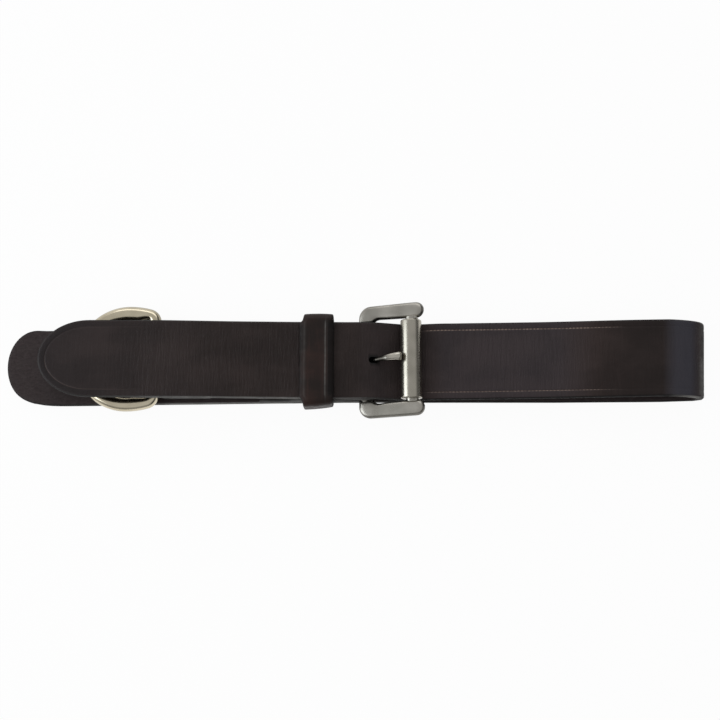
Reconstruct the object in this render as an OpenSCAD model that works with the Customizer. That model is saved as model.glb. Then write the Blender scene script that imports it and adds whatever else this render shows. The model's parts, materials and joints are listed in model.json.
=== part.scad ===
// Single-buckle girth strap, folded into a loop, buckled and laid on a flat surface.
// Millimetres, +Z up, +X along the strap towards the folded end, +Y across the strap.
// The origin is on the surface, under the middle of the folded strap.

/* [Strap] */
// Length of the folded strap over everything
overall_l = 346; // [326:1:386]
// Width of the strap
strap_w = 38; // [32:0.5:44]
// Thickness of the strap leather
strap_t = 3.8; // [3:0.1:4.6]
// Outer height of the folded end
bend_h = 15.6; // [13.5:0.1:20]
// Length of the curve at the folded end
bend_l = 20; // [15:0.5:26]
// Height of the outermost point of the folded end
turn_h = 4.8; // [4.5:0.1:6]
// Length of the tight turn under that point
turn_l = 5.5; // [4.6:0.1:8]
// How far the upper end lies behind the lower end
tip_setback = 19; // [14:0.5:30]
// Length of the rounded point on the upper end
tip_l = 24.5; // [16:0.5:34]
// Length of the round on the lower end
end_l = 15; // [10:0.5:19]
// Gap between the two runs of strap under the roller
dip_gap = 2; // [1.4:0.1:3]
// Length of the rise of the upper run just past the roller
rise_l = 17; // [12:0.5:24]
// Height of that rise
rise_h = 2; // [1:0.1:2.6]
// Length over which the upper run swells up to the folded end
swell_l = 66; // [50:1:80]
// Height that the upper run gains there
swell_h = 3.2; // [2:0.1:4]

/* [Buckle] */
// Distance of the heel bar from the lower end of the strap
heel_from_end = 178; // [168:1:190]
// Diameter of the heel bar
heel_d = 4; // [3.4:0.1:5]
// Distance between the heel bar and the roller
roller_reach = 23.6; // [21.6:0.1:28]
// Diameter of the roller
roller_d = 10.4; // [9:0.1:12]
// Diameter of the bar inside the roller
axle_d = 5.6; // [4.6:0.1:6.6]
// Diameter of the shoulder at each end of that bar
shoulder_d = 6.8; // [6.7:0.1:8]
// Length of each shoulder
shoulder_l = 1; // [0.6:0.1:2]
// Room between the side bars beyond the strap width
frame_slack = 5.4; // [5:0.1:9]
// Width of a side bar at the heel end
side_w = 7; // [5.8:0.1:7.6]
// Width of a side bar at the roller end
nose_w = 8; // [7.2:0.1:9]
// Thickness of a side bar
side_t = 4.6; // [4.2:0.1:6]
// Edge rounding of a side bar
side_r = 1.7; // [1:0.1:2]
// Length of a side bar behind the heel bar
heel_margin = 2.8; // [2.6:0.1:4]
// Length of a side bar past the roller's middle
nose_l = 7.2; // [6.8:0.1:10]
// Radius of the outer corner at the heel end
heel_corner_r = 6; // [4:0.1:6.4]
// Reach of the web that fills each inner corner at the heel end
web_l = 4.6; // [3:0.1:6]

/* [Tongue] */
// Diameter of the tongue
tongue_d = 4; // [3.4:0.1:4.6]
// Swell of the tongue's diameter at its bend and tip
tongue_swell = 0.4; // [0.2:0.1:0.6]
// Width of the tongue's eye on the heel bar
eye_w = 5.6; // [5:0.1:7]
// Wall of the eye
eye_wall = 1.4; // [1:0.1:1.6]
// Distance of the tongue's bend in front of the heel bar
knee_x = 6.2; // [5:0.1:7]
// Height of the tongue's bend above the strap
knee_rise = 1.3; // [1:0.1:2]
// Angle round the roller at which the tip rests, from the front
tip_angle = 146; // [135:1:150]
// How far the tongue lifts off the roller
tongue_lift = 7; // [4:1:12]
// How far the buckle frame tips up
frame_lift = 4; // [2:1:8]

/* [Keeper] */
// Distance of the keeper's middle behind the heel bar
keeper_behind = 23; // [20:0.1:28]
// Width of the keeper along the strap
keeper_w = 15; // [11:0.1:17]
// Thickness of the keeper leather
keeper_t = 2.6; // [1.6:0.1:3]
// Outer corner radius of the keeper
keeper_r = 3.4; // [3.2:0.1:4.4]

/* [Dee] */
// Distance of the dee's bar from the lower end of the strap
dee_from_end = 74; // [68:0.5:84]
// Diameter of the dee's wire
dee_wire_d = 6; // [5:0.1:6.4]
// Room inside the dee beyond the strap width
dee_slack = 2.6; // [1.6:0.1:6]
// Outside depth of the dee
dee_depth = 41; // [36:0.5:46]
// Corner radius at the middle of the wire
dee_corner_r = 3.8; // [3.4:0.1:5]

/* [Chapes] */
// Thickness of the leather folded round the bars
chape_t = 1.8; // [1.4:0.1:2.2]
// Thickness of its pared end
pared_t = 0.8; // [0.6:0.1:1.2]
// Length of the pared end
pared_l = 5; // [3:0.5:7]
// Length of the buckle's chape from the heel bar
buckle_chape_l = 52; // [50:0.5:60]
// Length of the dee's chape from the dee's bar
dee_chape_l = 28; // [25:0.5:34]
// How much narrower the dee's chape is than the strap
dee_chape_trim = 5; // [3:0.5:8]
// Length over which a folded chape closes behind its bar
closing_l = 12; // [10:0.5:13]
// Length over which the chape steps over the keeper
step_l = 6.5; // [6:0.5:8]

/* [Stitches] */
// Diameter of the thread
thread_d = 0.9; // [0.6:0.1:1.2]
// Pitch of the stitches
stitch_pitch = 3; // [2.6:0.1:4]
// Length of one stitch
stitch_l = 2.2; // [1.6:0.1:2.4]
// Distance of a stitch row from the strap's edge
stitch_inset = 3.4; // [2.5:0.1:5]

/* [Fits] */
// Radial clearance of a bar in its fold, eye or roller
running_fit = 0.06; // [0.03:0.01:0.1]
// Gap where leather lies on leather
lay_gap = 0.1; // [0.05:0.01:0.2]
// Gap between the keeper and what it holds
keeper_gap = 1; // [0.4:0.05:1.3]
// Gap between a moving metal piece and what it rests on
rest_gap = 0.3; // [0.2:0.05:0.4]
// Gap round the tongue in its holes
hole_gap = 0.45; // [0.4:0.05:0.6]

/* [Hidden] */
$fn = 64;
past = 1;
run_steps = 12;
bend_steps = 16;
turn_steps = 9;
end_steps = 16;

leather_colour = [0.20, 0.17, 0.17];
chape_colour = [0.23, 0.19, 0.18];
satin_colour = [0.52, 0.48, 0.43];
polished_colour = [0.72, 0.67, 0.56];
thread_colour = [0.12, 0.10, 0.09];

// Places along the strap
strap_left = -overall_l / 2;
tip_x = strap_left + tip_setback;
dee_x = strap_left + dee_from_end;
heel_x = strap_left + heel_from_end;
keeper_left = heel_x - keeper_behind - keeper_w / 2;
keeper_right = keeper_left + keeper_w;
bend_x = overall_l / 2 - bend_l;

// Heights of the bars, each carried by a fold of chape on the lower run
heel_fold_r = heel_d / 2 + running_fit;
dee_fold_r = dee_wire_d / 2 + running_fit;
heel_z = strap_t + chape_t + heel_fold_r;
dee_z = strap_t + chape_t + dee_fold_r;

// Heights of the underside of the upper run
over_heel_z = heel_z + heel_fold_r + chape_t + lay_gap;
over_dee_z = dee_z + dee_fold_r + chape_t + lay_gap;
dip_z = strap_t + dip_gap;

// The roller lies on the upper run, and the frame tips to reach it
roller_z = dip_z + strap_t + rest_gap + roller_d / 2;
frame_tilt = asin((roller_z - heel_z) / roller_reach);
roller_x = heel_x + roller_reach * cos(frame_tilt);
frame_in = strap_w + frame_slack;
side_l = heel_margin + roller_reach + nose_l;
side_taper = nose_w - side_w;
roller_in = frame_in - 2 * side_taper * (side_l - nose_l) / side_l;
roller_l = roller_in - 2 * shoulder_l - 2 * rest_gap;

// The tongue rises from the heel bar, bends, and rests its tip on the roller
pivot = [heel_x, heel_z];
knee = [heel_x + knee_x, over_heel_z + strap_t + knee_rise];
bead_d = tongue_d + tongue_swell;
tip_reach = (roller_d + bead_d) / 2 + rest_gap;
tongue_tip = [roller_x, roller_z] + tip_reach * heading(tip_angle);
shank_angle = heading_angle(pivot, knee);

// The tongue's holes clear it from rest to fully raised
raised_angle = shank_angle + tongue_lift + frame_lift;
raised_x = heel_x + (over_heel_z - heel_z) / tan(raised_angle);
hole_w = bead_d + hole_gap;
hole_left = raised_x - tongue_d / 2 / sin(raised_angle) - hole_gap;
hole_right = knee[0] + bead_d / 2;
slot_w = eye_w + 2 * hole_gap;
slot_l = heel_fold_r + eye_wall + hole_gap + tongue_d / 2;

// The keeper stands on the lower run and closes over the upper one
keeper_in_w = strap_w + 2 * keeper_gap;
keeper_top = over_heel_z + strap_t + keeper_gap + keeper_t;
keeper_h = keeper_top - strap_t;
on_keeper_z = strap_t + keeper_t + lay_gap;

// The dee lies with its bow on the lower run
dee_r = (strap_w + dee_slack + dee_wire_d) / 2;
dee_straight = dee_depth - dee_wire_d - dee_r;
dee_drop = dee_z - strap_t - dee_wire_d / 2 - rest_gap;
dee_tilt = asin(dee_drop / (dee_depth - dee_wire_d));

// Stations of each run of leather: x, height of the underside, slope, thickness
upper_run = [
    [tip_x, over_dee_z, 0, strap_t],
    [dee_x, over_dee_z, 0, strap_t],
    [keeper_left, over_heel_z, 0, strap_t],
    [heel_x, over_heel_z, 0, strap_t],
    [roller_x, dip_z, 0, strap_t],
    [roller_x + rise_l, dip_z + rise_h, 0.015, strap_t],
    [bend_x - swell_l, bend_h - strap_t - swell_h, 0.02, strap_t],
    [bend_x, bend_h - strap_t, 0, strap_t],
];
buckle_chape_left = heel_x - buckle_chape_l;
buckle_lower_leg = [
    [buckle_chape_left, strap_t, 0, pared_t],
    [buckle_chape_left + pared_l, strap_t, 0, chape_t],
    [keeper_left - step_l, strap_t, 0, chape_t],
    [keeper_left - lay_gap, on_keeper_z, 0, chape_t],
    [keeper_right + lay_gap, on_keeper_z, 0, chape_t],
    [keeper_right + step_l, strap_t, 0, chape_t],
    [heel_x, strap_t, 0, chape_t],
];
buckle_upper_leg = [
    [buckle_chape_left, strap_t + pared_t, 0, pared_t],
    [buckle_chape_left + pared_l, strap_t + chape_t, 0, chape_t],
    [keeper_left - step_l, strap_t + chape_t, 0, chape_t],
    [keeper_left - lay_gap, on_keeper_z + chape_t, 0, chape_t],
    [keeper_right, on_keeper_z + chape_t, 0, chape_t],
    [heel_x, heel_z + heel_fold_r, 0, chape_t],
];
dee_chape_right = dee_x + dee_chape_l;
dee_chape_w = strap_w - dee_chape_trim;
dee_lower_leg = [
    [dee_x, strap_t, 0, chape_t],
    [dee_chape_right - pared_l, strap_t, 0, chape_t],
    [dee_chape_right, strap_t, 0, pared_t],
];
dee_upper_leg = [
    [dee_x, dee_z + dee_fold_r, 0, chape_t],
    [dee_x + closing_l, strap_t + chape_t, 0, chape_t],
    [dee_chape_right - pared_l, strap_t + chape_t, 0, chape_t],
    [dee_chape_right, strap_t + pared_t, 0, pared_t],
];

// Stitched stretches, where both legs of a chape lie flat on the lower run
sewn_z = strap_t + 2 * chape_t;
buckle_row_y = strap_w / 2 - stitch_inset;
dee_row_y = dee_chape_w / 2 - stitch_inset;
channel_d = thread_d / 2 + lay_gap / 2;
buckle_sewn = [buckle_chape_left + pared_l, keeper_left - step_l];
dee_sewn = [dee_x + closing_l, dee_chape_right - pared_l];

// Directions in the side view
function heading(angle) = [cos(angle), sin(angle)];
function heading_angle(from, to) = atan2(to[1] - from[1], to[0] - from[0]);

// A smooth run between stations a and b, at a share u of the way
function run_height(a, b, u) =
    let (l = b[0] - a[0])
    (2 * u ^ 3 - 3 * u ^ 2 + 1) * a[1] + (u ^ 3 - 2 * u ^ 2 + u) * l * a[2]
    + (3 * u ^ 2 - 2 * u ^ 3) * b[1] + (u ^ 3 - u ^ 2) * l * b[2];
function run_slope(a, b, u) =
    (6 * u ^ 2 - 6 * u) * (a[1] - b[1]) / (b[0] - a[0])
    + (3 * u ^ 2 - 4 * u + 1) * a[2] + (3 * u ^ 2 - 2 * u) * b[2];

// A point on the underside (side 0) or the upper face (side 1) of a run
function run_point(a, b, u, side) =
    let (
        s = run_slope(a, b, u),
        n = sqrt(1 + s * s),
        lift = side * (a[3] + u * (b[3] - a[3]))
    )
    [a[0] + u * (b[0] - a[0]) - lift * s / n, run_height(a, b, u) + lift / n];
function run_line(run, side) = [
    for (i = [0:len(run) - 2])
        for (k = [0:i < len(run) - 2 ? run_steps - 1 : run_steps])
            run_point(run[i], run[i + 1], k / run_steps, side)
];
function backwards(points) = [for (i = [len(points) - 1:-1:0]) points[i]];
function oval_arc(centre, reach, from, to, steps) = [
    for (k = [0:steps])
        let (a = from + (to - from) * k / steps)
        centre + [reach[0] * cos(a), reach[1] * sin(a)]
];

// A face of the folded end, which falls from the upper run to a tight turn on the surface
function folded_end(inset) = concat(
    oval_arc([bend_x, turn_h], [bend_l - inset, bend_h - turn_h - inset], 90, 0, bend_steps),
    oval_arc([overall_l / 2 - turn_l, turn_h], [turn_l - inset, turn_h - inset], -9, -90, turn_steps)
);

// Outline of a strap end seen from above, rounded as half an ellipse
function end_outline(left, round_l) = concat(
    [[overall_l, -strap_w / 2], [overall_l, strap_w / 2]],
    [
        for (k = [0:end_steps])
            let (a = 90 + 180 * k / end_steps)
            [left + round_l + round_l * cos(a), strap_w / 2 * sin(a)]
    ]
);

// Places of the stitches that fill a stretch: x, y and direction
function row_count(stretch) = floor((stretch[1] - stretch[0]) / stitch_pitch);
function cross_count(row_y) = floor(2 * (row_y - stitch_pitch) / stitch_pitch);
function stitch_places(stretch, cross_x, row_y) = concat(
    [
        for (y = [-row_y, row_y])
            for (i = [0:row_count(stretch) - 1])
                [stretch[0] + (i + 0.5) * stitch_pitch, y, 0]
    ],
    [
        for (i = [0:cross_count(row_y) - 1])
            [cross_x, (i + 0.5 - cross_count(row_y) / 2) * stitch_pitch, 90]
    ]
);

// Draws a side view and gives it a width across the strap
module across(w) {
    rotate([90, 0, 0])
        translate([0, 0, -w / 2])
            linear_extrude(w)
                children();
}

module ribbon(run) {
    polygon(concat(run_line(run, 0), backwards(run_line(run, 1))));
}

module plan_block(outline, low, high) {
    translate([0, 0, low])
        linear_extrude(high - low)
            polygon(outline);
}

// Half a ring of folded leather on one side of a bar
module fold(x, z, r, side) {
    translate([x, z])
        intersection() {
            difference() {
                circle(r + chape_t);
                circle(r);
            }
            translate([side > 0 ? 0 : -r - chape_t, -r - chape_t])
                square([r + chape_t, 2 * (r + chape_t)]);
        }
}

// Draws in the buckle frame's own plane, with its heel bar at the origin
module in_frame() {
    translate([heel_x, 0, heel_z])
        rotate([0, -frame_tilt, 0])
            children();
}

module bar_across(d, from, to) {
    translate([0, from, 0])
        rotate([-90, 0, 0])
            cylinder(d = d, h = to - from);
}

// A round rod between two points of the side view
module rod(from, to, d) {
    translate([from[0], 0, from[1]])
        rotate([0, atan2(to[0] - from[0], to[1] - from[1]), 0])
            cylinder(d = d, h = norm(to - from));
}

// A turn of the dee's wire in its own plane
module wire_turn(centre, r, from, sweep) {
    translate(centre)
        rotate(from)
            rotate_extrude(angle = sweep)
                translate([r, 0])
                    circle(d = dee_wire_d);
}

// What a round takes off the corner of an outline
module corner_waste(at, r, sx, sy) {
    translate(at)
        difference() {
            translate([sx > 0 ? -past : -r, sy > 0 ? -past : -r])
                square(r + past);
            translate([sx * r, sy * r])
                circle(r);
        }
}

module strap_side_view() {
    polygon(concat(
        run_line(upper_run, 1),
        folded_end(0),
        [[strap_left, 0], [strap_left, strap_t]],
        backwards(folded_end(strap_t)),
        backwards(run_line(upper_run, 0))
    ));
}

// Oblong hole for the tongue, seen from above
module tongue_hole() {
    ends = [hole_left + hole_w / 2, hole_right - hole_w / 2];
    for (x = ends)
        translate([x, 0])
            circle(d = hole_w);
    translate([ends[0], -hole_w / 2])
        square([ends[1] - ends[0], hole_w]);
}

// Channels that sink a stretch's stitches into the underside
module stitch_channels(stretch, cross_x, row_y) {
    for (place = stitch_places(stretch, cross_x, row_y))
        translate([place[0], place[1], 0])
            rotate(place[2])
                translate([-stitch_pitch / 2, -thread_d / 2 - lay_gap, -past])
                    cube([stitch_pitch, thread_d + 2 * lay_gap, channel_d + past]);
}

module girth_strap() {
    split_z = strap_t + dip_gap / 2;
    highest_z = max(bend_h, over_dee_z + strap_t);
    color(leather_colour)
        difference() {
            intersection() {
                across(strap_w)
                    strap_side_view();
                union() {
                    plan_block(end_outline(strap_left, end_l), -past, split_z);
                    plan_block(end_outline(tip_x, tip_l), split_z, highest_z + past);
                }
            }
            translate([0, 0, split_z])
                linear_extrude(highest_z)
                    tongue_hole();
            stitch_channels(buckle_sewn, buckle_sewn[0], buckle_row_y);
            stitch_channels(dee_sewn, dee_sewn[1], dee_row_y);
        }
}

// Side view of the buckle chape's legs, which part in front of the keeper
module buckle_chape_legs() {
    lower_open = [for (i = [4:6]) buckle_lower_leg[i]];
    upper_open = [for (i = [4:5]) buckle_upper_leg[i]];
    polygon(concat(
        run_line(buckle_lower_leg, 0),
        backwards(run_line(lower_open, 1)),
        run_line(upper_open, 0),
        backwards(run_line(buckle_upper_leg, 1))
    ));
}

module buckle_chape() {
    color(chape_colour)
        difference() {
            across(strap_w) {
                buckle_chape_legs();
                fold(heel_x, heel_z, heel_fold_r, 1);
            }
            translate([heel_x - slot_l, -slot_w / 2, strap_t - past])
                cube([slot_l + heel_fold_r + chape_t + past, slot_w, over_heel_z]);
        }
}

module dee_chape() {
    color(chape_colour)
        across(dee_chape_w) {
            ribbon(dee_lower_leg);
            ribbon(dee_upper_leg);
            fold(dee_x, dee_z, dee_fold_r, -1);
        }
}

module keeper_outline(w, h, r) {
    difference() {
        translate([-w / 2, 0])
            square([w, h]);
        for (sx = [-1, 1], sy = [-1, 1])
            corner_waste([-sx * w / 2, sy > 0 ? 0 : h], r, sx, sy);
    }
}

module keeper() {
    color(leather_colour)
        translate([keeper_left, 0, strap_t])
            rotate([90, 0, 90])
                linear_extrude(keeper_w)
                    difference() {
                        keeper_outline(keeper_in_w + 2 * keeper_t, keeper_h, keeper_r);
                        translate([0, keeper_t])
                            keeper_outline(keeper_in_w, keeper_h - 2 * keeper_t, keeper_r - keeper_t);
                    }
}

// A long bar along X with one pair of rounded edges, at y = 0 on its outer or inner side
module rounded_edge_bar(side) {
    translate([-past, 0, -side_t / 2])
        rotate([90, 0, 90])
            linear_extrude(side_l + 2 * past)
                difference() {
                    translate([side > 0 ? 0 : -2 * nose_w, 0])
                        square([2 * nose_w, side_t]);
                    for (sy = [-1, 1])
                        corner_waste([0, sy > 0 ? 0 : side_t], side_r, side, sy);
                }
}

// One side bar of the frame, wider towards the roller and rounded all round
module side_bar() {
    nose_r = nose_w / 2;
    translate([-heel_margin, frame_in / 2, 0])
        intersection() {
            translate([0, 0, -side_t / 2])
                linear_extrude(side_t)
                    difference() {
                        polygon([[0, 0], [side_l, -side_taper], [side_l, side_w], [0, side_w]]);
                        corner_waste([0, side_w], heel_corner_r, 1, -1);
                        corner_waste([side_l, side_w], nose_r, -1, -1);
                        corner_waste([side_l, -side_taper], nose_r, -1, 1);
                    }
            translate([0, side_w, 0])
                rounded_edge_bar(-1);
            rotate(-atan(side_taper / side_l))
                rounded_edge_bar(1);
        }
}

// The web in the inner corner between the heel bar and a side bar
module heel_web() {
    web_in = strap_w / 2 + hole_gap;
    web_out = frame_in / 2 + side_w / 2;
    web_t = heel_d - past / 2;
    translate([0, 0, -web_t / 2])
        linear_extrude(web_t)
            polygon([[0, web_in], [web_l, web_in], [web_l + web_out - web_in, web_out], [0, web_out]]);
}

module buckle_frame() {
    bar_end = frame_in / 2 + side_w / 2;
    color(satin_colour)
        in_frame() {
            for (side = [0, 1])
                mirror([0, side, 0]) {
                    side_bar();
                    heel_web();
                }
            bar_across(heel_d, -bar_end, bar_end);
            translate([roller_reach, 0, 0]) {
                bar_across(axle_d, -bar_end, bar_end);
                bar_across(shoulder_d, roller_in / 2 - shoulder_l, bar_end);
                bar_across(shoulder_d, -bar_end, shoulder_l - roller_in / 2);
            }
        }
}

module roller() {
    color(satin_colour)
        in_frame()
            translate([roller_reach, 0, 0])
                difference() {
                    bar_across(roller_d, -roller_l / 2, roller_l / 2);
                    bar_across(axle_d + 2 * running_fit, -roller_l, roller_l);
                }
}

module tongue() {
    color(satin_colour)
        difference() {
            union() {
                translate([heel_x, 0, heel_z])
                    bar_across(2 * (heel_fold_r + eye_wall), -eye_w / 2, eye_w / 2);
                rod(pivot, knee, tongue_d);
                rod(knee, tongue_tip, tongue_d);
                for (at = [knee, tongue_tip])
                    translate([at[0], 0, at[1]])
                        sphere(d = bead_d);
            }
            translate([heel_x, 0, heel_z])
                bar_across(2 * heel_fold_r, -eye_w, eye_w);
        }
}

module dee_ring() {
    corner_y = dee_r - dee_corner_r;
    color(polished_colour)
        translate([dee_x, 0, dee_z])
            rotate([0, -dee_tilt, 0]) {
                bar_across(dee_wire_d, -corner_y, corner_y);
                wire_turn([-dee_straight, 0], dee_r, 90, 180);
                for (sy = [-1, 1]) {
                    wire_turn([-dee_corner_r, sy * corner_y], dee_corner_r, sy > 0 ? 0 : -90, 90);
                    translate([-dee_straight, sy * dee_r, 0])
                        rotate([0, 90, 0])
                            cylinder(d = dee_wire_d, h = dee_straight - dee_corner_r);
                }
            }
}

// Half a thread lying on a face, seen from above if side is 1 and from below if it is -1
module stitch(side) {
    intersection() {
        translate([-stitch_l / 2, 0, 0])
            rotate([0, 90, 0])
                cylinder(d = thread_d, h = stitch_l);
        translate([-stitch_l, -thread_d, side > 0 ? 0 : -thread_d])
            cube([2 * stitch_l, 2 * thread_d, thread_d]);
    }
}

module stitches(stretch, cross_x, row_y) {
    color(thread_colour)
        for (place = stitch_places(stretch, cross_x, row_y)) {
            translate([place[0], place[1], sewn_z])
                rotate(place[2])
                    stitch(1);
            translate([place[0], place[1], channel_d])
                rotate(place[2])
                    stitch(-1);
        }
}

module buckle_chape_stitches() {
    stitches(buckle_sewn, buckle_sewn[0], buckle_row_y);
}

module dee_chape_stitches() {
    stitches(dee_sewn, dee_sewn[1], dee_row_y);
}

girth_strap();
buckle_chape();
dee_chape();
keeper();
buckle_frame();
roller();
tongue();
dee_ring();
buckle_chape_stitches();
dee_chape_stitches();
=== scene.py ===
"""Looks of the girth strap: leather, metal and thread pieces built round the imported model."""
import json
import math

import bpy
import numpy as np
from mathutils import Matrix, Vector, noise


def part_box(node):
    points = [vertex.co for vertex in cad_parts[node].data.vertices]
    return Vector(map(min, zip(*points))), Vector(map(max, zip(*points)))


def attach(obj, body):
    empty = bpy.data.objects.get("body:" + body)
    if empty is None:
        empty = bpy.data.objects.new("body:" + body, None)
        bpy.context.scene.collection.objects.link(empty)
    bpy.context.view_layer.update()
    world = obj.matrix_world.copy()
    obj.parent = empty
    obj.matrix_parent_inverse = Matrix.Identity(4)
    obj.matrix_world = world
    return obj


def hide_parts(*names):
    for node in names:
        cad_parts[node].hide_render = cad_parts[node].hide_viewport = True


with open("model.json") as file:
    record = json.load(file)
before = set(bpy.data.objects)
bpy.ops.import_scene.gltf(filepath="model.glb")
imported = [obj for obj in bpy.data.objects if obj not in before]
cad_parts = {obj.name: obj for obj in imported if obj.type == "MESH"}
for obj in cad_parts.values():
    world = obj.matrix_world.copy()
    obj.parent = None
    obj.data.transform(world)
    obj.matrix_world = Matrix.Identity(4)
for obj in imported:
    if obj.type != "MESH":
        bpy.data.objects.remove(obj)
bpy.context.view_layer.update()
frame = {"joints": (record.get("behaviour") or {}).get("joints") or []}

# All sizes are millimetres and all angles degrees; points become metres when a mesh is made
MM = 0.001

# Edges that turn by more than this are drawn sharp
SHARP_ANGLE = 50.0

# Strap
STRAP_T = 3.8
BEND_H = 15.6
BEND_L = 20.0
TIP_SETBACK = 19.0
TIP_L = 24.5
TIP_FADE = 20.0
END_L = 15.0
END_CORNER_TRIM = 1.2
END_TRIM_AT = 11.0
END_TRIM_L = 9.0
TURN_H = 4.8
TURN_L = 5.5
FOLD_SKEW = 0.062
SKEW_FROM_X = 80.0
# Painted highlight on the outer face before the fold: where it begins and where it is full, back from the
# fold
FOLD_HIGHLIGHT_W = 5.0
FOLD_HIGHLIGHT_FULL_W = 1.5
RISE_L = 17.0
RISE_H = 2.0
SWELL_L = 66.0
SWELL_H = 3.2
CREASE_INSET = 3.6
CREASE_HALF_W = 0.32
CREASE_DEPTH = 0.32
HELD_INSET = CREASE_INSET + 1.5
GLINT_PITCH = 1.75
RIM_SHADE = 0.35
TIP_CREASE_LOSS = 0.8
NEAR_GLINTS = 0.75
FAR_WEAR_LOSS = 0.6
STITCH_GROOVE_DEPTH = 0.55
CROSS_GROOVE_HALF_W = 1.4 * CREASE_HALF_W
GROOVE_FADE = 1.0
EDGE_ROUND_IN = 1.1
EDGE_ROUND_DOWN = 0.95
EDGE_BULGE = 0.06
PATH_STEP = 0.5
STATION_STEP = 1.3
FINE_STEP = 0.2
FINE_REACH = 1.2
ARC_STEPS = 44

# Unevenness of the strap's faces: height, lengths along and across over which it changes, noise seed
UNEVEN_FACES = [(0.09, 17, 21, 1.0), (0.035, 4.5, 16, 5.0)]
INNER_UNEVEN = 0.2
UNEVEN_WIDTH = 0.006
UNEVEN_WIDTH_L = 38
UNEVEN_WIDTH_SEED = 9.0

# Keeper and chapes
KEEPER_T = 2.6
KEEPER_GAP = 1.0
KEEPER_CORNER = 0.8
KEEPER_CROWN = 0.3
KEEPER_FLARE = 1.0
KEEPER_LEAN = 0.8
KEEPER_SKEW = 0.7
KEEPER_SHIFT = 0.3
KEEPER_END_GAP = 0.2
KEEPER_WAVER = 0.1
KEEPER_LEFT_FALL = 1.3
KEEPER_RIGHT_FALL = 3.4
CHAPE_T = 1.8
PARED_T = 0.8
PARED_L = 5.0
CLOSING_L = 12.0
STEP_L = 6.5
SLOT_W = 6.5
SLOT_ROOM = 0.95
CHAPE_STEP = 0.8
CHAPE_LINES = 27
CHAPE_WEAR = 0.5
CHAPE_BEVEL = 0.3
LEG_STEPS = 90
DEE_CHAPE_NARROWED = 1.2
LAY_GAP = 0.1
RUNNING_FIT = 0.06
REST_GAP = 0.3

# Buckle; its bars are drawn a little nearer the strap than the solid's, as in the photo
HEEL_R = 2.0
HEEL_MARGIN = 2.8
HEEL_CORNER_R = 6.0
HEEL_BAR_SUNK = 2.5
SIDE_DRAWN_IN = 0.75
SIDE_W = 6.6
NOSE_W = 7.8
SIDE_HALF_T = 2.3
SIDE_ROUND = 1.25
NOSE_ROUND = 1.8
SIDE_CROWN = 0.4
NOSE_L = 6.6
WEB_GAP = 0.12
WEB_END = 7.7
WEB_R = 4.0
NECK_HALF_W = 2.6
NECK_HALF_T = 1.9
NECK_AHEAD = 0.9
NECK_GAP = 0.12
NECK_L = 3.0
AXLE_R = 2.7
AXLE_SUNK = 1.0
BAR_STEPS = 40
FRAME_SKEW = 0.025
BORE_R = 2.86
SEAM_AT = 262.0
SEAM_DEPTH = 0.3
SEAM_SPREAD = 1.4
SHANK_R = 1.5
HOLE_R = 1.45
HOLE_BELOW = 3.0
HOLE_ABOVE = 2.5
TIP_R = 2.2
TONGUE_RADII = [1.3, 1.05, 1.15, TIP_R]
TONGUE_LEAN = 1.1
TONGUE_SQUARENESS = 2.15
# Painted shade on the tongue, full up to the first distance from the heel bar and gone by the second
TONGUE_SHADE_L = 7.5
TONGUE_SHADE_ENDS = 13.0
KNEE_X = 6.2
KNEE_RISE = 1.3
KNEE_BEFORE = 4.5
KNEE_AFTER = 5.5
TIP_ANGLE = 146.0
TONGUE_SWING = 10.0
EYE_WALL = 1.4
EYE_HALF_W = 2.8
EYE_ROUND = 0.5
EYE_MOUTH_RISE = 0.25
EYE_MOUTH_IN = 0.3

# Dee
DEE_WIRE_R = 3.0
DEE_DEPTH = 42.2
DEE_INNER_HALF_W = 20.3
DEE_CORNER_R = 3.8
DEE_SLIDE = 1.9
DEE_SIDE_LEAN = 15.0
DEE_BOW_SWELL = 1.1
DEE_UPPER_SWELL = 0.8
# Painted shade below the top of the dee's wire, on its near and its far half
DEE_NEAR_PAINTED_SHADE = 0.08
DEE_FAR_PAINTED_SHADE = 0.5

# Stitches
THREAD_R = 0.45
STITCH_PITCH = 3.0
STITCH_L = 2.5
STITCH_INSET = 3.4
STITCH_SLANT = 9.0
STITCH_PROUD = 0.12
STITCH_SINK = 0.35
UNDER_STITCH_Z = THREAD_R + 0.16

# Camera, as a place over the surface and a lens on the usual 36 mm sensor
CAMERA_ELEVATION = 79.0
CAMERA_DISTANCE = 495.7
CAMERA_LENS = 50.0
CAMERA_AIM = (2.5, 1.7, 6.0)

# Floor
FLOOR_HALF = 3000.0
FLOOR_DROP = 0.02
FLOOR_GLOW = 0.95


def in_mm(points):
    return np.array(points, float) / MM


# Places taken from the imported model
joint_at = {joint["name"]: in_mm(joint["pos_m"]) for joint in frame["joints"]}
strap_low, strap_high = in_mm(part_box("girth_strap"))
keeper_low, keeper_high = in_mm(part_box("keeper"))
frame_high = in_mm(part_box("buckle_frame"))[1]
roller_low, roller_high = in_mm(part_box("roller"))
buckle_chape_low = in_mm(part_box("buckle_chape"))[0]
dee_chape_high = in_mm(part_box("dee_chape"))[1]

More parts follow.
